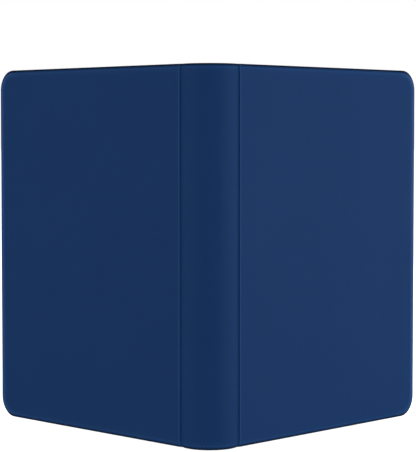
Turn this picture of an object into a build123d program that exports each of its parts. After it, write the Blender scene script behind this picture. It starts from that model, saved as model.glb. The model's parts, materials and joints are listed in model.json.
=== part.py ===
from build123d import *
import math
import os

# A nine-pocket trading card binder with fixed side-loading pages, standing open on its lower edge.
# Millimetres, +Z up. X runs across the spine, towards the front cover, and +Y points into the
# binder, so the outside of the spine faces -Y. The origin is on the floor, in the middle of the
# spine's foot. The spine is the fixed body; both covers and all pages turn about vertical lines.

# Overall sizes
cover_height = 330.0
cover_width = 256.0  # from a cover's fold line to its fore edge
corner_radius = 19.0
spine_width = 50.0  # between the two fold lines
spine_bulge = 20.0  # how far the rounded spine stands out from its two edges
opening_angle = 84.0  # between the covers, as the binder stands

# Layers, from the outside in
skin = 0.8
padding = 1.0
board = 2.0
lining = 0.6
spine_board = 1.2  # thin enough to bend round the spine

# Edges and folds
rim = 1.6  # the skin turned in round the edge of the boards
edge_roll = 1.5  # rounding of the padded outer edge
fold_flat = 1.2  # thin stretch beside a fold line
fold_rise = 3.6  # where the skin climbs from the fold to the padded face
fold_glue = 0.8  # from the end of that climb to the cover's board
fold_gap = 0.15  # running gap between a cover's fold and the spine

# Stitching
stitch_inset = 3.4
thread_width = 0.7
thread_depth = 0.35

# Page binding
strip_thickness = 1.4
strip_height = 296.0
strip_rise = 1.2  # from the fold lines to the face that the pages stand on
strip_stand = 0.4  # how far that face stands above the spine's edges
page_gap = 0.25  # between a page's root and the binding strip

# Pages
page_count = 20
page_pitch = 2.1
sheet_thickness = 0.4
film_thickness = 0.12
pocket_gap = 0.45  # room for a card between sheet and film
binding_margin = 22.0
columns = 3
rows = 3
column_pitch = 70.0
pocket_mouth = 3.0  # bare sheet in front of each film, where the card goes in
pocket_height = 92.5
weld = 2.5
sheet_border = 2.0
sheet_corner = 6.0
fan_ripple = 0.012  # small unevenness of the fan

# Worked out from the above
fold_radius = (skin + lining) / 2
fold_x = spine_width / 2
fold_end = fold_flat + fold_rise
board_start = fold_end + fold_glue
inner_face = fold_radius
lining_back = inner_face - lining
board_back = lining_back - board
padding_back = board_back - padding
outer_face = padding_back - skin
spine_half = fold_x - fold_radius - fold_gap
spine_thickness = skin + spine_board + lining
arch_radius = (spine_half**2 + spine_bulge**2) / (2 * spine_bulge)
arch_inner = arch_radius - spine_thickness
fold_y = spine_bulge + fold_radius - spine_thickness / 2  # puts the spine's foot at the origin
arch_y = arch_radius - spine_thickness / 2
strip_face = fold_y + strip_rise
strip_back = strip_face - strip_thickness
spine_edge = strip_face - strip_stand
page_y = strip_face + page_gap + sheet_thickness / 2
cover_turn = (180.0 - opening_angle) / 2
fan_half = 90.0 - cover_turn
sheet_height = rows * pocket_height + (rows + 1) * weld + 2 * sheet_border
sheet_width = binding_margin + columns * column_pitch + sheet_border
film_height = sheet_height - 2 * sheet_border
page_low = (cover_height - sheet_height) / 2


def save(shape, name):
    os.makedirs("parts", exist_ok=True)
    export_step(shape, f"parts/{name}.step")


def slab(x_low, x_high, y_low, y_high, z_low, z_high):
    """A box between two corners."""
    size = (x_high - x_low, y_high - y_low, z_high - z_low)
    middle = ((x_low + x_high) / 2, (y_low + y_high) / 2, (z_low + z_high) / 2)
    return Pos(*middle) * Box(*size)


def cover_plate(x_low, inset, y_low, y_high):
    """A flat layer of a cover, with rounded fore-edge corners, inset from the cover's outline."""
    high = cover_width - inset
    width, height = high - x_low, cover_height - 2 * inset
    outline = Pos((x_low + high) / 2, cover_height / 2) * Rectangle(width, height)
    corners = outline.vertices().group_by(Axis.X)[-1]
    outline = fillet(corners, corner_radius - inset)
    upright = Plane(origin=(0, y_high, 0), x_dir=(1, 0, 0), z_dir=(0, -1, 0))
    return extrude(upright * outline, y_high - y_low)


# Cover: drawn lying open in the spine's plane, with its fold line on the Z axis, then turned.
def cover_envelope():
    """The whole cover as one block: a thin fold, a rise, and the padded panel with rolled edges."""
    profile = Line((0, -fold_radius), (fold_flat, -fold_radius))
    profile += Line(profile @ 1, (fold_end, outer_face))
    profile += Line(profile @ 1, (cover_width + 1, outer_face))
    profile += Line(profile @ 1, (cover_width + 1, inner_face))
    profile += Line(profile @ 1, (0, inner_face))
    profile += ThreePointArc((0, inner_face), (-fold_radius, 0), (0, -fold_radius))
    block = extrude(make_face(profile), cover_height)
    panel = cover_plate(fold_flat, 0, outer_face, inner_face)
    outside = panel.faces().sort_by(Axis.Y)[0]
    rolled = outside.edges().sort_by(Axis.X)[1:]
    panel = fillet(rolled, edge_roll)
    near_fold = slab(-1, fold_end, outer_face - 1, inner_face + 1, 0, cover_height)
    return block & (panel + near_fold)


def stitch_band(x_low, y_low, y_high):
    """The band that one row of stitches fills, along the top, fore and bottom edges."""
    outer = cover_plate(x_low, stitch_inset - thread_width / 2, y_low, y_high)
    inner = cover_plate(x_low - 1, stitch_inset + thread_width / 2, y_low - 1, y_high + 1)
    return outer - inner


def cover_parts():
    """Skin, padding, board, lining and stitching of one cover."""
    envelope = cover_envelope()
    core = cover_plate(board_start, rim, padding_back, inner_face)
    fold_pocket = slab(-fold_radius - 1, board_start, lining_back, inner_face + 1, rim, cover_height - rim)
    inner_panel = envelope & (core + fold_pocket)
    lining_zone = slab(-2, cover_width, lining_back, inner_face + 1, 0, cover_height)
    outer_row = stitch_band(board_start, outer_face, outer_face + thread_depth)
    inner_row = stitch_band(board_start, inner_face - thread_depth, inner_face)
    return {
        "skin": envelope - core - fold_pocket - outer_row,
        "padding": cover_plate(board_start, rim, padding_back, board_back),
        "board": cover_plate(board_start, rim, board_back, lining_back),
        "lining": (inner_panel & lining_zone) - inner_row,
        "stitching": Compound(children=[outer_row.solid(), inner_row.solid()]),
    }


def build_covers():
    for layer, shape in cover_parts().items():
        turned = Pos(fold_x, fold_y, 0) * Rot(0, 0, cover_turn) * shape
        save(turned, f"front_cover_{layer}")
        save(mirror(turned, about=Plane.YZ), f"back_cover_{layer}")


# Spine: layers of one arch, between the two folds.
def arch(outer, inner, y_high, z_low, z_high):
    """A stretch of the arch between two radii, cut off at the folds and at its two edges."""
    ring = Pos(0, arch_y) * (Circle(outer) - Circle(inner))
    depth = y_high - arch_y + arch_radius
    window = Pos(0, y_high - depth / 2) * Rectangle(2 * spine_half, depth)
    return Pos(0, 0, z_low) * extrude(ring & window, z_high - z_low)


def build_spine():
    top = cover_height - rim
    core_edge = spine_edge - rim
    board_radius = arch_radius - skin
    lining_radius = board_radius - spine_board
    thread_low = stitch_inset - thread_width / 2
    thread_high = stitch_inset + thread_width / 2
    whole = arch(arch_radius, arch_inner, spine_edge, 0, cover_height)
    core = arch(board_radius, arch_inner - 1, core_edge, rim, top)
    lower_row = arch(arch_radius, arch_radius - thread_depth, spine_edge, thread_low, thread_high)
    upper_row = Pos(0, 0, cover_height - 2 * stitch_inset) * lower_row
    save(whole - core - lower_row - upper_row, "spine_skin")
    save(arch(board_radius, lining_radius, core_edge, rim, top), "spine_board")
    save(arch(lining_radius, arch_inner, core_edge, rim, top), "spine_lining")
    save(Compound(children=[lower_row.solid(), upper_row.solid()]), "spine_stitching")


def build_binding_strip():
    """A flat strip across the arch, glued to it along both sides. The page roots stand on it."""
    bar = Pos(0, (strip_back + strip_face) / 2) * Rectangle(2 * arch_inner, strip_thickness)
    profile = bar & (Pos(0, arch_y) * Circle(arch_inner))
    low = (cover_height - strip_height) / 2
    save(Pos(0, 0, low) * extrude(profile, strip_height), "page_binding_strip")


# Pages: drawn along +X from the root line on the Z axis, then placed in the fan.
def page_sheet():
    """The dark sheet in the middle of a page, round at its root so that it can turn."""
    half = sheet_thickness / 2
    outline = Pos(sheet_width / 2, page_low + sheet_height / 2) * Rectangle(sheet_width, sheet_height)
    outline = fillet(outline.vertices().group_by(Axis.X)[-1], sheet_corner)
    upright = Plane(origin=(0, half, 0), x_dir=(1, 0, 0), z_dir=(0, -1, 0))
    root = Pos(0, 0, page_low) * extrude(Circle(half), sheet_height)
    return extrude(upright * outline, sheet_thickness) + root


def pocket_film():
    """One column of three pockets: a clear film standing on its welds, open towards the spine."""
    width = column_pitch - pocket_mouth
    face = sheet_thickness / 2
    film_low = face + pocket_gap
    film_bottom = page_low + sheet_border
    strip = slab(0, width, film_low, film_low + film_thickness, film_bottom, film_bottom + film_height)
    strip += slab(width - weld, width, face, film_low, film_bottom, film_bottom + film_height)
    for row in range(rows + 1):
        low = film_bottom + row * (pocket_height + weld)
        strip += slab(0, width - weld, face, film_low, low, low + weld)
    return strip


def page_films(strip):
    """All film columns of a page, on both sides of its sheet."""
    starts = [binding_margin + pocket_mouth + n * column_pitch for n in range(columns)]
    near = [Pos(x, 0, 0) * strip for x in starts]
    far = [mirror(column, about=Plane.XZ) for column in near]
    return Compound(children=[piece.solid() for piece in near + far])


def fan_share(number):
    """Where a page stands in the fan: 1 is beside the front cover and -1 beside the back cover."""
    middle = (page_count + 1) / 2
    return (middle - number) / (page_count / 2) + fan_ripple * math.sin(2.4 * number)


def page_root_x(number):
    return ((page_count + 1) / 2 - number) * page_pitch


def build_pages():
    sheet = page_sheet()
    films = page_films(pocket_film())
    for number in range(1, page_count + 1):
        turn = 90.0 - fan_half * fan_share(number)
        place = Pos(page_root_x(number), page_y, 0) * Rot(0, 0, turn)
        save(place * sheet, f"page_{number:02d}_sheet")
        save(place * films, f"page_{number:02d}_films")


build_covers()
build_spine()
build_binding_strip()
build_pages()
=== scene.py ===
import bpy
import bmesh
import json
import math
import random
from mathutils import Matrix, Vector


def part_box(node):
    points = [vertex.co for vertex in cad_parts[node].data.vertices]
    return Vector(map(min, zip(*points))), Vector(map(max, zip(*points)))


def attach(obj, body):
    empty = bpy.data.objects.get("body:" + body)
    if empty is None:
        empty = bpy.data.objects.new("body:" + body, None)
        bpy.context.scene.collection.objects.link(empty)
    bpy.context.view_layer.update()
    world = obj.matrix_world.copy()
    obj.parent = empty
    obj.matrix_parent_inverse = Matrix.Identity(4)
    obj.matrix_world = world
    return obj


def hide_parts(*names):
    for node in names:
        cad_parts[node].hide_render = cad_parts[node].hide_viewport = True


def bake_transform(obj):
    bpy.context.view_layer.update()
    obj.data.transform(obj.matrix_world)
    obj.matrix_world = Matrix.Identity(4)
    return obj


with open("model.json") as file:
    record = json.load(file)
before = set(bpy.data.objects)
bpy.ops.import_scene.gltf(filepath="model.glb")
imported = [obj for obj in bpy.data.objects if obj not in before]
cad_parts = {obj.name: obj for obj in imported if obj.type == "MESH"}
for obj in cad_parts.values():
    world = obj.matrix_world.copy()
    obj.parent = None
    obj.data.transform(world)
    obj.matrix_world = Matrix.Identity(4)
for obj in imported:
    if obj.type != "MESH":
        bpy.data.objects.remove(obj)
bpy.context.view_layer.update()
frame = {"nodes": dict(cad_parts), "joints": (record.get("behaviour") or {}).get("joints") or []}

mm = 0.001
joints = {j["name"]: j for j in frame["joints"]}
frontFold = joints["front_cover_fold"]
foldX, foldY = frontFold["pos_m"][0], frontFold["pos_m"][1]
coverTurn = math.radians(90 - frontFold["range_deg"][1])  # from lying flat to how it stands

binder = {
    "innerFace": 0.7 * mm,  # from a fold line to the lining's face
    "outerFace": 3.7 * mm,  # from a fold line to the padded leather
    "cornerRadius": 19 * mm,
    "cornerSegments": 18,
    "cornerClear": 20 * mm,  # the even cuts stop this far from the rounded corners
    "foldFlat": 1.2 * mm,  # along the cover, where its inner face begins
    "spineWall": 2.6 * mm,
}
pageNumbers = range(1, 21)
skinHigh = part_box("front_cover_skin")[1]
tall = skinHigh.z
coverWide = (skinHigh.y - foldY - binder["innerFace"] * math.cos(coverTurn)) / math.sin(coverTurn)
spineLow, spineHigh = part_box("spine_skin")
spineHalf = spineHigh.x
archFoot = foldY - binder["innerFace"]  # where the arch meets the fold
archBulge = archFoot - spineLow.y
archRadius = (spineHalf ** 2 + archBulge ** 2) / (2 * archBulge)
archMiddle = spineLow.y + archRadius
archAngle = math.acos((archMiddle - archFoot) / archRadius)
stripLow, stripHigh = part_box("page_binding_strip")
print("frame: cover", round(coverWide / mm, 1), "mm wide and", round(tall / mm, 1), "mm tall")


def newPiece(name, bm, material):
    mesh = bpy.data.meshes.new(name)
    for face in bm.faces:
        face.smooth = True
    bm.to_mesh(mesh)
    bm.free()
    mesh.materials.append(material)
    piece = bpy.data.objects.new(name, mesh)
    bpy.context.scene.collection.objects.link(piece)
    return piece


def mirrored(piece, name):
    # the same piece on the back cover's side
    bm = bmesh.new()
    bm.from_mesh(piece.data)
    bmesh.ops.scale(bm, vec=(-1, 1, 1), verts=bm.verts)
    bmesh.ops.reverse_faces(bm, faces=bm.faces)
    return newPiece(name, bm, piece.data.materials[0])


def cut(bm, point, normal, clearInner=False):
    geometry = bm.verts[:] + bm.edges[:] + bm.faces[:]
    bmesh.ops.bisect_plane(bm, geom=geometry, dist=1e-7, plane_co=point, plane_no=normal,
                           clear_inner=clearInner)


def steps(low, high, pitch):
    # evenly spaced values strictly between two limits
    count = max(1, round((high - low) / pitch))
    return [low + (high - low) * i / count for i in range(1, count)]


def divide(bm, rows, pitch, more=()):
    # cuts a pattern along its section rows, and evenly where it is clear of its rounded corners
    clear = binder["cornerClear"]
    runs = [row[0] for row in rows[1:-1]] + list(more)
    for run in runs + steps(rows[-2][0], rows[-1][0] - clear, pitch):
        cut(bm, (run, 0, 0), (1, 0, 0))
    for z in steps(0, tall, pitch):
        if clear < z < tall - clear:
            cut(bm, (0, z, 0), (0, 1, 0))


def spread(value, rows):
    # reads a value between the rows of a two-column list
    for (x0, y0), (x1, y1) in zip(rows, rows[1:]):
        if value <= x1:
            return y0 + (y1 - y0) * max(0.0, value - x0) / (x1 - x0)
    return rows[-1][1]


def ring(bm, faces, thickness):
    bmesh.ops.inset_region(bm, faces=faces, thickness=thickness, use_boundary=True, use_even_offset=True)


def softSlab(low, high, radius, rings, sides, backRings):
    # a flat slab in pattern space, its two far corners rounded: along, height, share of the wall
    bm = bmesh.new()
    bmesh.ops.create_grid(bm, x_segments=1, y_segments=1, size=0.5)
    size, middle = Vector(high) - Vector(low), (Vector(high) + Vector(low)) / 2
    bmesh.ops.scale(bm, vec=(size.x, size.y, 1), verts=bm.verts)
    bmesh.ops.translate(bm, vec=(middle.x, middle.y, 0), verts=bm.verts)
    far = [v for v in bm.verts if v.co.x > middle.x]
    bmesh.ops.bevel(bm, geom=far, offset=radius, offset_type="OFFSET", affect="VERTICES",
                    segments=binder["cornerSegments"], profile=0.5, material=-1)
    front, reached = bm.faces[:], 0.0
    for distance in rings:
        ring(bm, front, distance - reached)
        reached = distance
    rim = [e for e in bm.edges if e.is_boundary]
    for vert in {v for e in rim for v in e.verts}:
        vert.co.z = sides[0]
    for share in sides[1:]:
        grown = bmesh.ops.extrude_edge_only(bm, edges=rim)["geom"]
        rim = [g for g in grown if isinstance(g, bmesh.types.BMEdge) and g.is_boundary]
        for vert in {v for e in rim for v in e.verts}:
            vert.co.z = share
    back, reached = bmesh.ops.contextual_create(bm, geom=rim)["faces"], 0.0
    for distance, share in backRings:
        ring(bm, back, distance - reached)
        reached = distance
        for vert in back[0].verts:
            vert.co.z = share
    return bm


def closeUp(bm):
    # caps an open cut and keeps its edge crisp
    rim = [e for e in bm.edges if e.is_boundary]
    bmesh.ops.holes_fill(bm, edges=rim)
    for edge in rim:
        edge.smooth = False


def outward(bm):
    bmesh.ops.recalc_face_normals(bm, faces=bm.faces)


def onArch(angle, depth):
    # round the spine, from its middle
    radius = archRadius - depth
    return Vector((radius * math.sin(angle), archMiddle - radius * math.cos(angle)))


def onCover(u, v):
    # u along the cover from its fold line, v from that line towards the pages
    along = Vector((math.cos(coverTurn), math.sin(coverTurn)))
    return Vector((foldX, foldY)) + along * u + Vector((-along.y, along.x)) * v


def bend(before, corner, after, reach, count):
    # a short smooth bend in place of a corner
    a = corner + (before - corner).normalized() * reach
    b = corner + (after - corner).normalized() * reach
    ts = [i / count for i in range(count + 1)]
    return [a * (1 - t) ** 2 + corner * 2 * t * (1 - t) + b * t ** 2 for t in ts]


def ruled(faces, backs):
    # rows of (distance along, face point, back point)
    rows, run = [], 0.0
    for i, (p, q) in enumerate(zip(faces, backs)):
        run += (p - faces[i - 1]).length if i else 0.0
        rows.append((run, p, q))
    return rows


foldPress = {
    # the padded leather stands fuller than the spine's shell towards its feet, by the growth's power
    "footAngle": 72.6, "fuller": 1.45, "growth": 2.6,
    # (along the cover, off it, reach of the bend, steps) for the pressed line and the shoulder beside it
    "line": (-2.5, -2.8, 0.2, 4), "shoulder": (-2.75, -3.7, 0.7, 6),
    "archSteps": 36, "middleStep": 0.004,  # the first is a narrow one, to keep the spine's middle smooth
    # along the cover: the rows of its flat face, and the place on it that the shoulder's bend aims at
    "flatAt": [3, 6], "aimAt": 12,
    "span": (-3.2, 3.4),  # a span round the fold where the leather would bend as the cover turns; it is read but not used
    # (distance past the shoulder, share): a painted highlight, the shoulder painted a little lighter
    # beside the pressed line
    "wearAndHighlight": [(-1.3, 0.0), (-0.7, 0.35), (0.3, 0.45), (1.2, 0.0)],
}


def leatherRows():
    # the section that the outer leather follows, from the spine's middle to the fore edge
    footAngle, count = math.radians(foldPress["footAngle"]), foldPress["archSteps"]
    angles = [0.0, foldPress["middleStep"]] + [footAngle * i / count for i in range(1, count + 1)]
    fuller = foldPress["fuller"] * mm
    faces = [onArch(a, -fuller * (a / footAngle) ** foldPress["growth"]) for a in angles]
    backs = [onArch(a * archAngle / footAngle, binder["spineWall"]) for a in angles]
    outerV = -binder["outerFace"]
    panel = onCover(foldPress["aimAt"] * mm, outerV)
    lineU, lineV, lineReach, lineSteps = foldPress["line"]
    edgeU, edgeV, edgeReach, edgeSteps = foldPress["shoulder"]
    line, edge = onCover(lineU * mm, lineV * mm), onCover(edgeU * mm, edgeV * mm)
    pressed = bend(faces[-1], line, edge, lineReach * mm, lineSteps)
    pressed += bend(line, edge, panel, edgeReach * mm, edgeSteps)
    faces += pressed
    innerFold = onCover(binder["foldFlat"], binder["innerFace"])
    backs += [backs[-1].lerp(innerFold, (i + 1) / len(pressed)) for i in range(len(pressed))]
    for u in [flat * mm for flat in foldPress["flatAt"]] + [coverWide]:
        faces.append(onCover(u, outerV))
        backs.append(onCover(u, binder["innerFace"]))
    return ruled(faces, backs)


def rowAt(rows, s):
    if s < 0:
        p, q = rowAt(rows, -s)
        return Vector((-p.x, p.y)), Vector((-q.x, q.y))
    after = next((i for i in range(1, len(rows)) if s <= rows[i][0]), len(rows) - 1)
    (s0, p0, q0), (s1, p1, q1) = rows[after - 1], rows[after]
    t = (s - s0) / (s1 - s0)
    return p0.lerp(p1, t), q0.lerp(q1, t)


def wrap(rows, s, z, depth):
    # bends the flat pattern round the spine and along the cover
    p, q = rowAt(rows, s)
    place = p + (q - p).normalized() * depth
    return Vector((place.x, place.y, z))


def wallAt(rows, s):
    p, q = rowAt(rows, s)
    return (q - p).length


def edgeGap(s, z, long):
    # distance in the pattern from the cover's rounded outline
    x, y, radius = long - s, min(z, tall - z), binder["cornerRadius"]
    if x < radius and y < radius:
        return radius - math.hypot(radius - x, radius - y)
    return min(x, y)


def nodeMaterial(name):
    material = bpy.data.materials.new(name)
    material.use_nodes = True
    return material, material.node_tree.nodes, material.node_tree.links


def setInputs(node, values):
    for socket, value in values.items():
        node.inputs[socket].default_value = value


def addNode(nodes, kind, values={}, **settings):
    node = nodes.new(kind)
    for key, value in settings.items():
        setattr(node, key, value)
    setInputs(node, values)
    return node


def rgba(colour):
    return (*colour, 1)


def grainGroup():
    # fine pebbled grain, with creases between the pebbles and slow unevenness over it
    group = bpy.data.node_groups.new("leatherGrain", "ShaderNodeTree")
    face = group.interface
    face.new_socket("Pebble Scale", in_out="INPUT", socket_type="NodeSocketFloat")
    face.new_socket("Softness", in_out="INPUT", socket_type="NodeSocketFloat")
    face.new_socket("Height", in_out="OUTPUT", socket_type="NodeSocketFloat")
    face.new_socket("Crease", in_out="OUTPUT", socket_type="NodeSocketFloat")
    face.new_socket("Cloud", in_out="OUTPUT", socket_type="NodeSocketFloat")
    nodes, links = group.nodes, group.links
    start, end = nodes.new("NodeGroupInput"), nodes.new("NodeGroupOutput")
    place = nodes.new("ShaderNodeTexCoord")
    warp = addNode(nodes, "ShaderNodeTexNoise", {"Scale": 900, "Detail": 2})
    push = addNode(nodes, "ShaderNodeVectorMath", {"Scale": 0.0004}, operation="SCALE")
    moved = addNode(nodes, "ShaderNodeVectorMath", operation="ADD")
    pebble = addNode(nodes, "ShaderNodeTexVoronoi", feature="DISTANCE_TO_EDGE")
    crease = addNode(nodes, "ShaderNodeMapRange", {
        "From Min": 0.0, "From Max": 0.22,
    }, interpolation_type="SMOOTHSTEP")
    fine = addNode(nodes, "ShaderNodeTexNoise", {"Scale": 2600, "Detail": 3})
    mixed = addNode(nodes, "ShaderNodeMix", data_type="FLOAT")
    cloud = addNode(nodes, "ShaderNodeTexNoise", {"Scale": 14, "Detail": 4})
    links.new(place.outputs["Object"], warp.inputs["Vector"])
    links.new(warp.outputs["Color"], push.inputs[0])
    links.new(place.outputs["Object"], moved.inputs[0])
    links.new(push.outputs[0], moved.inputs[1])
    links.new(moved.outputs[0], pebble.inputs["Vector"])
    links.new(start.outputs["Pebble Scale"], pebble.inputs["Scale"])
    links.new(pebble.outputs["Distance"], crease.inputs["Value"])
    links.new(place.outputs["Object"], fine.inputs["Vector"])
    links.new(place.outputs["Object"], cloud.inputs["Vector"])
    links.new(start.outputs["Softness"], mixed.inputs["Factor"])
    links.new(crease.outputs["Result"], mixed.inputs["A"])
    links.new(fine.outputs["Fac"], mixed.inputs["B"])
    links.new(mixed.outputs["Result"], end.inputs["Height"])
    links.new(crease.outputs["Result"], end.inputs["Crease"])
    links.new(cloud.outputs["Fac"], end.inputs["Cloud"])
    return group


def wearGroup():
    # how rubbed a spot is: convex edges, broken up by noise
    group = bpy.data.node_groups.new("edgeWear", "ShaderNodeTree")
    face = group.interface
    face.new_socket("Amount", in_out="INPUT", socket_type="NodeSocketFloat")
    face.new_socket("Mask", in_out="OUTPUT", socket_type="NodeSocketFloat")
    nodes, links = group.nodes, group.links
    start, end = nodes.new("NodeGroupInput"), nodes.new("NodeGroupOutput")
    shape, place = nodes.new("ShaderNodeNewGeometry"), nodes.new("ShaderNodeTexCoord")
    ridge = addNode(nodes, "ShaderNodeMapRange", {"From Min": 0.52, "From Max": 0.62})
    patch = addNode(nodes, "ShaderNodeTexNoise", {"Scale": 160, "Detail": 5})
    wearAndHighlight = addNode(nodes, "ShaderNodeMath", operation="MULTIPLY")
    share = addNode(nodes, "ShaderNodeMath", operation="MULTIPLY")
    links.new(shape.outputs["Pointiness"], ridge.inputs["Value"])
    links.new(place.outputs["Object"], patch.inputs["Vector"])
    links.new(ridge.outputs["Result"], wearAndHighlight.inputs[0])
    links.new(patch.outputs["Fac"], wearAndHighlight.inputs[1])
    links.new(wearAndHighlight.outputs[0], share.inputs[0])
    links.new(start.outputs["Amount"], share.inputs[1])
    links.new(share.outputs[0], end.inputs["Mask"])
    return group


leatherGrain, edgeWear = grainGroup(), wearGroup()


def leatherMaterial(name, look):
    material, nodes, links = nodeMaterial(name)
    shader = nodes["Principled BSDF"]
    setInputs(shader, {
        "Specular IOR Level": look["specular"], "Sheen Weight": look["sheen"], "Sheen Roughness": 0.5,
        "Sheen Tint": rgba(look["sheenTint"]),
    })
    grain = addNode(nodes, "ShaderNodeGroup", {
        "Pebble Scale": look["pebbles"], "Softness": look["softness"],
    }, node_tree=leatherGrain)
    wear = addNode(nodes, "ShaderNodeGroup", {"Amount": look["wear"]}, node_tree=edgeWear)
    tone = addNode(nodes, "ShaderNodeMix", {
        "A": rgba(look["dark"]), "B": rgba(look["light"]),
    }, data_type="RGBA")
    creased = addNode(nodes, "ShaderNodeMix", {
        "Factor": look["creaseShade"],
    }, data_type="RGBA", blend_type="MULTIPLY")
    # lighter colour for edge wear and for a painted highlight along the fore edges and the fold shoulders
    wearAndHighlight = addNode(nodes, "ShaderNodeMix", {"B": rgba(look["wearAndHighlight"])}, data_type="RGBA")
    rough = addNode(nodes, "ShaderNodeMapRange", {
        "To Min": look["rough"] + 0.06, "To Max": look["rough"] - 0.05,
    })
    bump = addNode(nodes, "ShaderNodeBump", {"Strength": look["bump"], "Distance": 0.0001})
    # painted shade: the rim mask darkens the rolled edge towards the rim colour
    rimShadeMask = addNode(nodes, "ShaderNodeAttribute", attribute_name="rim")
    paintedRimShade = addNode(nodes, "ShaderNodeMix", {"B": rgba(look["rim"])}, data_type="RGBA")
    # painted highlight along the fore edges and the fold shoulders, joined with the edge wear
    highlightMask = addNode(nodes, "ShaderNodeAttribute", attribute_name="wearAndHighlight")
    wearAndHighlightMask = addNode(nodes, "ShaderNodeMath", operation="MAXIMUM")
    links.new(grain.outputs["Cloud"], tone.inputs["Factor"])
    links.new(rimShadeMask.outputs["Fac"], paintedRimShade.inputs["Factor"])
    links.new(tone.outputs["Result"], paintedRimShade.inputs["A"])
    links.new(paintedRimShade.outputs["Result"], creased.inputs["A"])
    links.new(grain.outputs["Crease"], creased.inputs["B"])
    links.new(creased.outputs["Result"], wearAndHighlight.inputs["A"])
    links.new(highlightMask.outputs["Fac"], wearAndHighlightMask.inputs[0])
    links.new(wear.outputs["Mask"], wearAndHighlightMask.inputs[1])
    links.new(wearAndHighlightMask.outputs[0], wearAndHighlight.inputs["Factor"])
    links.new(wearAndHighlight.outputs["Result"], shader.inputs["Base Color"])
    links.new(grain.outputs["Crease"], rough.inputs["Value"])
    links.new(rough.outputs["Result"], shader.inputs["Roughness"])
    links.new(grain.outputs["Height"], bump.inputs["Height"])
    links.new(bump.outputs["Normal"], shader.inputs["Normal"])
    return material


def threadMaterial(name, light, dark):
    # twisted thread: painted shade in the dark lines between the plies
    material, nodes, links = nodeMaterial(name)
    shader = nodes["Principled BSDF"]
    setInputs(shader, {"Roughness": 0.6, "Specular IOR Level": 0.1})
    place = nodes.new("ShaderNodeTexCoord")
    twist = addNode(nodes, "ShaderNodeTexWave", {
        "Scale": 900, "Distortion": 1.2,
    }, bands_direction="DIAGONAL")
    tone = addNode(nodes, "ShaderNodeMix", {"A": rgba(dark), "B": rgba(light)}, data_type="RGBA")
    bump = addNode(nodes, "ShaderNodeBump", {"Strength": 0.5, "Distance": 0.0001})
    links.new(place.outputs["Object"], twist.inputs["Vector"])
    links.new(twist.outputs["Fac"], tone.inputs["Factor"])
    links.new(tone.outputs["Result"], shader.inputs["Base Color"])
    links.new(twist.outputs["Fac"], bump.inputs["Height"])
    links.new(bump.outputs["Normal"], shader.inputs["Normal"])
    return material


def sheetMaterial(name, look):
    # moulded or woven sheet: fine noise in colour, roughness and height
    material, nodes, links = nodeMaterial(name)
    shader = nodes["Principled BSDF"]
    setInputs(shader, {"Specular IOR Level": 0.4})
    place = nodes.new("ShaderNodeTexCoord")
    fine = addNode(nodes, "ShaderNodeTexNoise", {"Scale": look["scale"], "Detail": 4})
    tone = addNode(nodes, "ShaderNodeMix", {
        "A": rgba(look["dark"]), "B": rgba(look["light"]),
    }, data_type="RGBA")
    rough = addNode(nodes, "ShaderNodeMapRange", {
        "To Min": look["rough"] - 0.08, "To Max": look["rough"] + 0.08,
    })
    bump = addNode(nodes, "ShaderNodeBump", {"Strength": look["bump"], "Distance": 0.0001})
    links.new(place.outputs["Object"], fine.inputs["Vector"])
    links.new(fine.outputs["Fac"], tone.inputs["Factor"])
    links.new(fine.outputs["Fac"], rough.inputs["Value"])
    links.new(fine.outputs["Fac"], bump.inputs["Height"])
    links.new(tone.outputs["Result"], shader.inputs["Base Color"])
    links.new(rough.outputs["Result"], shader.inputs["Roughness"])
    links.new(bump.outputs["Normal"], shader.inputs["Normal"])
    return material


def filmMaterial():
    # clear film: mostly see-through, with a gloss, and whitish where it is welded
    material, nodes, links = nodeMaterial("clearFilm")
    shader = nodes["Principled BSDF"]
    setInputs(shader, {"Base Color": (0.6, 0.63, 0.68, 1), "Specular IOR Level": 0.6, "IOR": 1.5})
    weld = addNode(nodes, "ShaderNodeAttribute", attribute_name="weld")
    place = nodes.new("ShaderNodeTexCoord")
    scuff = addNode(nodes, "ShaderNodeTexNoise", {"Scale": 45, "Detail": 1.5})
    alpha = addNode(nodes, "ShaderNodeMapRange", {"To Min": 0.03, "To Max": 0.1})
    rough = addNode(nodes, "ShaderNodeMapRange", {"To Min": 0.08, "To Max": 0.22})
    bump = addNode(nodes, "ShaderNodeBump", {"Strength": 0.25, "Distance": 0.0004})
    links.new(weld.outputs["Fac"], alpha.inputs["Value"])
    links.new(alpha.outputs["Result"], shader.inputs["Alpha"])
    links.new(place.outputs["Object"], scuff.inputs["Vector"])
    links.new(scuff.outputs["Fac"], rough.inputs["Value"])
    links.new(rough.outputs["Result"], shader.inputs["Roughness"])
    links.new(scuff.outputs["Fac"], bump.inputs["Height"])
    links.new(bump.outputs["Normal"], shader.inputs["Normal"])
    return material


navyLook = {
    # the third colour serves edge wear and a painted highlight along the fore edges and the fold shoulders
    "dark": (0.0044, 0.0278, 0.101), "light": (0.0054, 0.0308, 0.108), "wearAndHighlight": (0.017, 0.062, 0.183),
    # the rim colour is a painted shade for the rolled edge
    "rim": (0.0006, 0.0065, 0.026),
    "specular": 0.055, "sheen": 0.0, "sheenTint": (0.55, 0.68, 1.0), "rough": 0.52, "pebbles": 1500,
    "softness": 0.35, "creaseShade": 0.2, "wear": 0.5, "bump": 0.45,
}
blackLook = {
    "dark": (0.011, 0.011, 0.013), "light": (0.016, 0.016, 0.018), "wearAndHighlight": (0.03, 0.03, 0.033),
    "rim": (0.008, 0.008, 0.009),
    "specular": 0.3, "sheen": 0.1, "sheenTint": (0.9, 0.93, 1.0), "rough": 0.62, "pebbles": 1300,
    "softness": 0.3, "creaseShade": 0.25, "wear": 0.3, "bump": 0.4,
}
navyLeather = leatherMaterial("navyLeather", navyLook)
blackLining = leatherMaterial("blackLining", blackLook)
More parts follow.
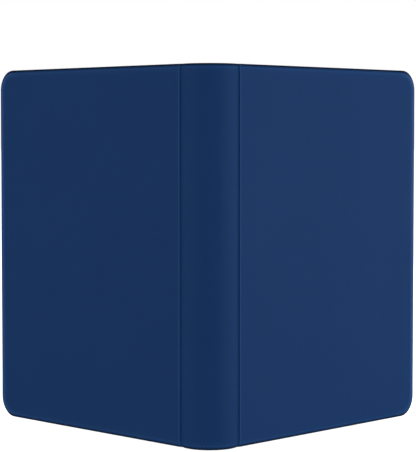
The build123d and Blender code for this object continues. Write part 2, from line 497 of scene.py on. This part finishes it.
navyThread = threadMaterial("navyThread", (0.018, 0.073, 0.205), (0.009, 0.045, 0.14))
pageBlack = sheetMaterial("pageBlack", {"dark": (0.012, 0.012, 0.014), "light": (0.02, 0.02, 0.022),
                                        "scale": 1400, "rough": 0.58, "bump": 0.22})
stripBlack = sheetMaterial("stripBlack", {"dark": (0.010, 0.010, 0.011), "light": (0.016, 0.016, 0.017),
                                          "scale": 700, "rough": 0.5, "bump": 0.25})
greyBoard = sheetMaterial("greyBoard", {"dark": (0.22, 0.2, 0.17), "light": (0.36, 0.33, 0.29),
                                        "scale": 500, "rough": 0.85, "bump": 0.5})
clearFilm = filmMaterial()
print("materials made")


leather = {
    # (distance from the edge, share of the wall): the rolled rim, the stitched channel, the padded face
    "face": [(0.0, 0.44), (0.2, 0.35), (0.6, 0.28), (1.2, 0.22), (2.0, 0.17), (2.8, 0.135), (3.4, 0.128),
             (4.0, 0.092), (4.8, 0.064), (6.2, 0.028), (7.8, 0.007), (9.5, 0.0)],
    "sides": [0.5, 0.6, 0.72],  # round the edge
    "back": [(0.25, 0.87), (0.7, 0.97), (1.6, 1.0), (1.66, 2.0)],  # 2.0 is the bed that the lining lies in
    "bed": 0.62,
    "rim": [(0.0, 1.0), (1.0, 1.0), (1.5, 0.6), (2.1, 0.0), (9.0, 0.0)],  # painted shade: where the rolled edge is painted darker, as it turns away from the light
    # a painted highlight in a band just inside the fore edge, and its share along the top and bottom edges
    "wearAndHighlight": [(0.0, 0.0), (2.0, 0.0), (2.8, 1.0), (4.0, 1.0), (4.8, 0.7), (6.2, 0.3), (7.8, 0.0)],
    "highlightAlong": 0.14, "highlightReach": 30,  # the painted highlight reaches this far in from the fore edge
    "rimWider": 1.0,  # how much wider the painted dark rim is there
    # slow unevenness of the padding: its height, and where it starts and how it grows to full
    "swell": 0.1, "swellStart": 9, "swellGrowth": 16, "swellFromSpine": 40,
    "pitch": 12,
    "spare": 14,  # past the spine's middle, cut away again
}
padWaves = {  # per metre along and up, and where each wave starts
    "hills": (41, 1.3, 17), "rows": (29, 0.7), "slant": (23, -31, 2.1), "shares": (0.6, 0.4),
}
facesAt = [(d * mm, share) for d, share in leather["face"]]


def padSwell(s, z):
    # slow hills and hollows over the padded board, from -1 to 1
    along, sway, swayUp = padWaves["hills"]
    up, upStart = padWaves["rows"]
    slantAlong, slantUp, slantStart = padWaves["slant"]
    a = math.sin(s * along + sway * math.sin(z * swayUp)) * math.sin(z * up + upStart)
    b = math.sin(s * slantAlong + z * slantUp + slantStart)
    return padWaves["shares"][0] * a + padWaves["shares"][1] * b


def leatherPiece():
    rows = leatherRows()
    long = rows[-1][0]
    shoulder = rows[-2 - len(foldPress["flatAt"])][0]
    bm = softSlab((-leather["spare"] * mm, 0), (long, tall), binder["cornerRadius"],
                  [d for d, share in facesAt[1:]], leather["sides"],
                  [(d * mm, share) for d, share in leather["back"]])
    divide(bm, rows, leather["pitch"] * mm, [shoulder + d * mm for d, share in foldPress["wearAndHighlight"][2:]])
    cut(bm, (0, 0, 0), (1, 0, 0), clearInner=True)
    closeUp(bm)
    rim, wearAndHighlight = bm.verts.layers.float.new("rim"), bm.verts.layers.float.new("wearAndHighlight")
    for vert in bm.verts:
        s, z, share = vert.co
        wall, gap = wallAt(rows, s), edgeGap(s, z, long)
        fore = max(0.0, 1 - (long - s) / (leather["highlightReach"] * mm))
        highlightShare = max(leather["highlightAlong"], fore)
        # painted shade: the rim mask over the slab's sides and back and the face's last two millimetres,
        # wider at the fore edge
        rimGap = gap / mm / (1 + leather["rimWider"] * fore)
        vert[rim] = 1.0 if share > 0 else spread(rimGap, leather["rim"])
        # painted highlight: a light line at the fold shoulder, and a band just inside the fore edge
        atFold = spread((s - shoulder) / mm, foldPress["wearAndHighlight"])
        vert[wearAndHighlight] = 0.0 if share > 0 else max(atFold, highlightShare * spread(gap / mm, leather["wearAndHighlight"]))
        if share > 1:
            depth = wall - leather["bed"] * mm
        elif share > 0:
            depth = wall * share
        else:
            fade = min(1.0, max(0.0, gap - leather["swellStart"] * mm) / (leather["swellGrowth"] * mm))
            fade *= min(1.0, s / (leather["swellFromSpine"] * mm))
            depth = wall * spread(gap, facesAt) - leather["swell"] * mm * fade * padSwell(s, z)
        vert.co = wrap(rows, s, z, depth)
    outward(bm)
    return newPiece("frontLeather", bm, navyLeather)


frontLeather = leatherPiece()
backLeather = mirrored(frontLeather, "backLeather")
print("outer leather:", len(frontLeather.data.polygons), "faces a side")


stitching = {
    "inset": 3.4, "pitch": 3.5, "length": 2.5, "radius": 0.29, "lean": 0.09,
    "bedded": 0.1,  # how deep a stitch's middle lies on the lining's side
    "segments": 6, "rings": 5,
}


def seamPath(rows):
    # evenly spaced (along, height, direction) round three sides of the cover, from the spine's middle
    long, inset = rows[-1][0], stitching["inset"] * mm
    radius = binder["cornerRadius"] - inset
    side, up = long - inset - radius, tall - 2 * (inset + radius)
    arc = radius * math.pi / 2
    total = 2 * side + 2 * arc + up
    count = round(total / (stitching["pitch"] * mm))
    for i in range(count):
        run = total * (i + 0.5) / count
        if run < side:
            yield run, inset, 0.0
        elif run < side + arc:
            turn = (run - side) / radius
            yield side + radius * math.sin(turn), inset + radius * (1 - math.cos(turn)), turn
        elif run < side + arc + up:
            yield long - inset, inset + radius + run - side - arc, math.pi / 2
        elif run < side + 2 * arc + up:
            turn = (run - side - arc - up) / radius
            height = tall - inset - radius + radius * math.sin(turn)
            yield side + radius * math.cos(turn), height, math.pi / 2 + turn
        else:
            yield total - run, tall - inset, math.pi


def threadPiece():
    rows = leatherRows()
    bm = bmesh.new()
    size = stitching["radius"] * mm
    stretch = stitching["length"] * mm / (2 * size)
    channel = spread(stitching["inset"] * mm, facesAt)
    for s, z, turn in seamPath(rows):
        wall = wallAt(rows, s)
        placing = Matrix.Rotation(turn + stitching["lean"], 3, "Z") @ Matrix.Diagonal((stretch, 1, 1))
        for rest in (wall * channel, wall - stitching["bedded"] * mm):
            made = bmesh.ops.create_uvsphere(bm, u_segments=stitching["segments"],
                                             v_segments=stitching["rings"], radius=size)["verts"]
            for vert in made:
                local = placing @ Vector((vert.co.z, vert.co.x, vert.co.y))
                vert.co = wrap(rows, s + local.x, z + local.y, rest + local.z)
    outward(bm)
    return newPiece("frontThread", bm, navyThread)


frontThread = threadPiece()
backThread = mirrored(frontThread, "backThread")
print("stitching:", len(frontThread.data.polygons), "faces a side")


lining = {
    "start": 20.9, "level": 20.8, "inset": 1.7, "thick": 0.58,
    "bend": 1.1, "bendSteps": 8,  # where it turns from the spine into the fold
    "bound": 0.15, "sides": [0.3, 0.8],  # its rounded edge
    "pitch": 24,
    "span": [(23.9, 20.7), (25.5, 20.9)],  # a span round the fold where the lining would bend as the cover turns; it is read but not used
}


def liningRows():
    # from over the spine's edge, down into the fold and up the cover's inner face
    level, wall = lining["level"] * mm, lining["thick"] * mm
    reach = (level - foldY - binder["innerFace"] * math.cos(coverTurn)) / math.sin(coverTurn)
    corner = onCover(reach, binder["innerFace"])
    far = onCover(coverWide - lining["inset"] * mm, binder["innerFace"])
    start = Vector((lining["start"] * mm, level))
    faces = [start] + bend(start, corner, far, lining["bend"] * mm, lining["bendSteps"]) + [far]
    backs = []
    for i, point in enumerate(faces):
        before, after = faces[max(i - 1, 0)], faces[min(i + 1, len(faces) - 1)]
        along = (after - before).normalized()
        backs.append(point + Vector((along.y, -along.x)) * wall)
    return ruled(faces, backs)


def liningPiece():
    rows, inset = liningRows(), lining["inset"] * mm
    bound = lining["bound"] * mm
    bm = softSlab((0, inset), (rows[-1][0], tall - inset), binder["cornerRadius"] - inset, [bound],
                  lining["sides"], [(bound, 1.0)])
    divide(bm, rows, lining["pitch"] * mm)
    for vert in bm.verts:
        s, z, share = vert.co
        vert.co = wrap(rows, s, z, share * lining["thick"] * mm)
    outward(bm)
    return newPiece("frontLining", bm, blackLining)


frontLining = liningPiece()
backLining = mirrored(frontLining, "backLining")
print("linings made")


page = {
    "long": 234, "corner": 6, "thick": 0.4, "sides": [0.3, 0.7], "pitchAlong": 13, "pitchUp": 20,
    # how it stands off its flat plane: its bow, how that differs up the page, and its free edge's wave
    "bow": 2.0, "bowUneven": 0.12, "wave": 0.45, "waves": 2.3, "waveStart": 0.5, "shift": 0.12,
}
pocket = {
    "columns": [25, 95, 165], "rows": 3, "wide": 67, "tall": 92.5, "weld": 2.5,
    "film": 0.08, "clear": 0.02,  # the film's thickness, and its gap from the sheet
    "pillow": 0.34, "mouth": 0.18, "closing": 9,  # height of the swell, and how sharply its far end closes
    "stepsAcross": 12, "stepsUp": 8,
}
pageLow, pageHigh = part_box("page_01_sheet")
filmLow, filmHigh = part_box("page_01_films")


def pageShape(r, z, side, shift):
    # how far a page stands off its flat plane
    t = min(1.0, max(0.0, r / (page["long"] * mm)))
    lift = (z - pageLow.z) / (pageHigh.z - pageLow.z)
    bow = page["bow"] * math.sin(math.pi * t) * (1 + page["bowUneven"] * math.cos(math.pi * lift))
    wave = page["wave"] * math.sin(page["waves"] * math.pi * lift + page["waveStart"]) * t * t
    return (side * (bow + wave) + shift * math.sin(math.pi * t)) * mm


def pillow(a, b):
    # height of a pocket's film, a from its mouth to its far weld, b across it
    across = max(0.0, math.sin(math.pi * b)) ** 0.6
    along = math.sin(math.pi * min(1, a)) ** 0.8
    high = pocket["mouth"] + (pocket["pillow"] - pocket["mouth"]) * along
    return high * across * min(1.0, (1 - a) * pocket["closing"])


def filmStrips(bm, weldMark, toward):
    # strips of pockets on one face of a page, in page space (along, height, off the page)
    across, up = pocket["stepsAcross"], pocket["stepsUp"]
    zs = [filmLow.z]
    for row in range(pocket["rows"]):
        foot = filmLow.z + (pocket["weld"] + row * (pocket["tall"] + pocket["weld"])) * mm
        zs += [foot + pocket["tall"] * mm * i / up for i in range(up + 1)]
    zs.append(filmHigh.z)
    xs = [pocket["wide"] * mm * i / across for i in range(across + 1)]
    xs[-2] = (pocket["wide"] - pocket["weld"]) * mm
    flat = page["thick"] / 2 + pocket["clear"]
    for start in pocket["columns"]:
        before = len(bm.faces)
        grid = bmesh.ops.create_grid(bm, x_segments=across, y_segments=len(zs) - 1, size=0.5)["verts"]
        for vert in grid:
            i = round((vert.co.x + 0.5) * across)
            j = round((vert.co.y + 0.5) * (len(zs) - 1))
            row, step = divmod(j - 1, up + 1)
            inPocket = 0 < j < len(zs) - 1 and 0 < step < up
            high = pillow(xs[i] / xs[-2], step / up) if inPocket and i < across else 0.0
            vert[weldMark] = 0.0 if high > pocket["clear"] else 1.0
            vert.co = Vector((start * mm + xs[i], zs[j], toward * (flat + high) * mm))
        for grown in bmesh.ops.extrude_face_region(bm, geom=bm.faces[before:])["geom"]:
            if isinstance(grown, bmesh.types.BMVert):
                grown.co.z += toward * pocket["film"] * mm


def makePage(number, joint, shift):
    body = "page_%02d" % number
    low = joint["range_deg"][0]
    turn = math.radians(-low if joint["axis"][2] > 0 else 180 + low)
    side = -1 if joint["axis"][2] > 0 else 1
    root = Vector(joint["pos_m"])
    along = Vector((math.cos(turn), math.sin(turn), 0))
    off = Vector((-along.y, along.x, 0))

    def settle(bm):
        for vert in bm.verts:
            r, z, n = vert.co
            n += pageShape(r, z, side, shift)
            vert.co = Vector((root.x, root.y, 0)) + along * r + off * n + Vector((0, 0, z))

    long, corner, half = page["long"] * mm, page["corner"] * mm, page["thick"] * mm / 2
    bm = softSlab((0, pageLow.z), (long, pageHigh.z), corner, [half], page["sides"], [(half, 1.0)])
    for r in steps(0, long - corner, page["pitchAlong"] * mm):
        cut(bm, (r, 0, 0), (1, 0, 0))
    for z in steps(pageLow.z + corner, pageHigh.z - corner, page["pitchUp"] * mm):
        cut(bm, (0, z, 0), (0, 1, 0))
    for vert in bm.verts:
        vert.co.z = (0.5 - vert.co.z) * page["thick"] * mm
    settle(bm)
    outward(bm)
    sheet = newPiece(body + "Sheet", bm, pageBlack)
    bm = bmesh.new()
    weldMark = bm.verts.layers.float.new("weld")
    for toward in (1, -1):
        filmStrips(bm, weldMark, toward)
    settle(bm)
    outward(bm)
    films = newPiece(body + "Films", bm, clearFilm)
    for piece, node, slot in ((sheet, "_sheet", "page_sheet"), (films, "_films", "pocket_film")):
        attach(piece, body)
        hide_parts(body + node)


draw = random.Random(7)
for number in pageNumbers:
    makePage(number, joints["page_%02d_turn" % number], draw.uniform(-page["shift"], page["shift"]))
print(len(pageNumbers), "pages made")


welt = {"radius": 0.42, "sunk": 0.3, "segments": 10}  # sunk: how far its middle is below the page's root


def weltPiece():
    # a half-round welt over each page's root
    bm = bmesh.new()
    radius, middle = welt["radius"] * mm, (stripHigh.z + stripLow.z) / 2
    for number in pageNumbers:
        made = bmesh.ops.create_cone(bm, cap_ends=True, segments=welt["segments"], radius1=radius,
                                     radius2=radius, depth=stripHigh.z - stripLow.z)["verts"]
        root = joints["page_%02d_turn" % number]["pos_m"]
        bmesh.ops.translate(bm, vec=(root[0], root[1] - welt["sunk"] * mm, middle), verts=made)
    outward(bm)
    return newPiece("pageWelts", bm, stripBlack)


pageWelts = weltPiece()


def paint(node, material):
    # a CAD node keeps its shape and takes a material
    data = frame["nodes"][node].data
    data.materials.clear()
    data.materials.append(material)


foldSpan = [onCover(u * mm, 0) for u in foldPress["span"]]
liningSpan = [Vector((x * mm, y * mm)) for x, y in lining["span"]]
for sideName, sign, pieces in (("front", 1, (frontLeather, frontThread, frontLining)),
                               ("back", -1, (backLeather, backThread, backLining))):
    leatherHalf, thread, liner = pieces
    cover = sideName + "_cover"
    for piece, (start, end) in ((leatherHalf, foldSpan), (thread, foldSpan), (liner, liningSpan)):
        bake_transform(piece)
    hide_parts(cover + "_skin", cover + "_padding", "spine_skin")
    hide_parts(cover + "_stitching", "spine_stitching")
    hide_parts(cover + "_lining")
    paint(cover + "_board", greyBoard)
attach(pageWelts, "spine")
paint("spine_board", greyBoard)
paint("spine_lining", blackLining)
paint("page_binding_strip", stripBlack)

studio = {
    "ambient": 0.91, "glossAmbient": 0.03, "floorGlow": 0.8, "floorHalf": 30, "floorDrop": 0.6 * mm,
    "aim": (0, 0.08),  # the lights point here, at half the binder's height
    # name: (azimuth from straight in front, distance, height, size, watts, seen in gloss)
    "lights": {
        "rightSoftbox": (78, 1.7, 0.2, 1.0, 11, True),
        "leftSoftbox": (-78, 1.7, 0.2, 1.0, 5, True),
        "rightRimbox": (124, 1.7, 0.25, 0.9, 28, False),
        "leftRimbox": (-124, 1.7, 0.25, 0.9, 11, False),
        "frontSoftbox": (0, 1.8, 0.3, 1.0, 4.5, False),
        "backSoftbox": (172, 1.8, 1.2, 1.4, 14, False),
    },
}
world = bpy.data.worlds.new("studio")
bpy.context.scene.world = world
world.use_nodes = True
nodes, links = world.node_tree.nodes, world.node_tree.links
path, sky = nodes.new("ShaderNodeLightPath"), nodes["Background"]
gloss, seen = [addNode(nodes, "ShaderNodeMix", data_type="FLOAT") for i in range(2)]
setInputs(gloss, {"A": studio["ambient"], "B": studio["glossAmbient"]})
setInputs(seen, {"B": 1.0})
setInputs(sky, {"Color": (1, 1, 1, 1)})
links.new(path.outputs["Is Glossy Ray"], gloss.inputs["Factor"])
links.new(path.outputs["Is Camera Ray"], seen.inputs["Factor"])
links.new(gloss.outputs["Result"], seen.inputs["A"])
links.new(seen.outputs["Result"], sky.inputs["Strength"])

bm = bmesh.new()
bmesh.ops.create_grid(bm, x_segments=1, y_segments=1, size=studio["floorHalf"])
bmesh.ops.translate(bm, vec=(0, 0, -studio["floorDrop"]), verts=bm.verts)
paleFloor, nodes, links = nodeMaterial("paleFloor")
shader = nodes["Principled BSDF"]
setInputs(shader, {
    "Base Color": (0.8, 0.8, 0.8, 1), "Roughness": 0.9, "Specular IOR Level": 0.1,
    "Emission Color": (1, 1, 1, 1), "Emission Strength": studio["floorGlow"],
})
floor = newPiece("floor", bm, paleFloor)
floor.visible_diffuse = False
floor.visible_glossy = False


def softbox(name, azimuth, distance, height, size, watts, glossy):
    data = bpy.data.lights.new(name, "AREA")
    data.shape, data.size, data.energy = "SQUARE", size, watts
    light = bpy.data.objects.new(name, data)
    turn = math.radians(azimuth)
    middle = Vector((*studio["aim"], tall / 2))
    place = middle + Vector((math.sin(turn) * distance, -math.cos(turn) * distance, height - tall / 2))
    light.location = place
    light.visible_glossy = glossy
    light.rotation_euler = (middle - place).to_track_quat("-Z", "Y").to_euler()
    bpy.context.scene.collection.objects.link(light)


for name, settings in studio["lights"].items():
    softbox(name, *settings)

# place: across, in front of the fold lines, height; angles in degrees
view = {"lens": 150.36, "sensor": 36, "place": (-0.01578, 1.6207, 0.27015), "down": 2.798, "right": 0.506}
cameraData = bpy.data.cameras.new("camera")
cameraData.lens, cameraData.sensor_width = view["lens"], view["sensor"]
camera = bpy.data.objects.new("camera", cameraData)
across, back, height = view["place"]
camera.location = (across, foldY - back, height)
camera.rotation_euler = (math.radians(90 - view["down"]), 0, math.radians(-view["right"]))
bpy.context.scene.collection.objects.link(camera)
bpy.context.scene.camera = camera
bpy.context.scene.view_settings.view_transform = "Standard"
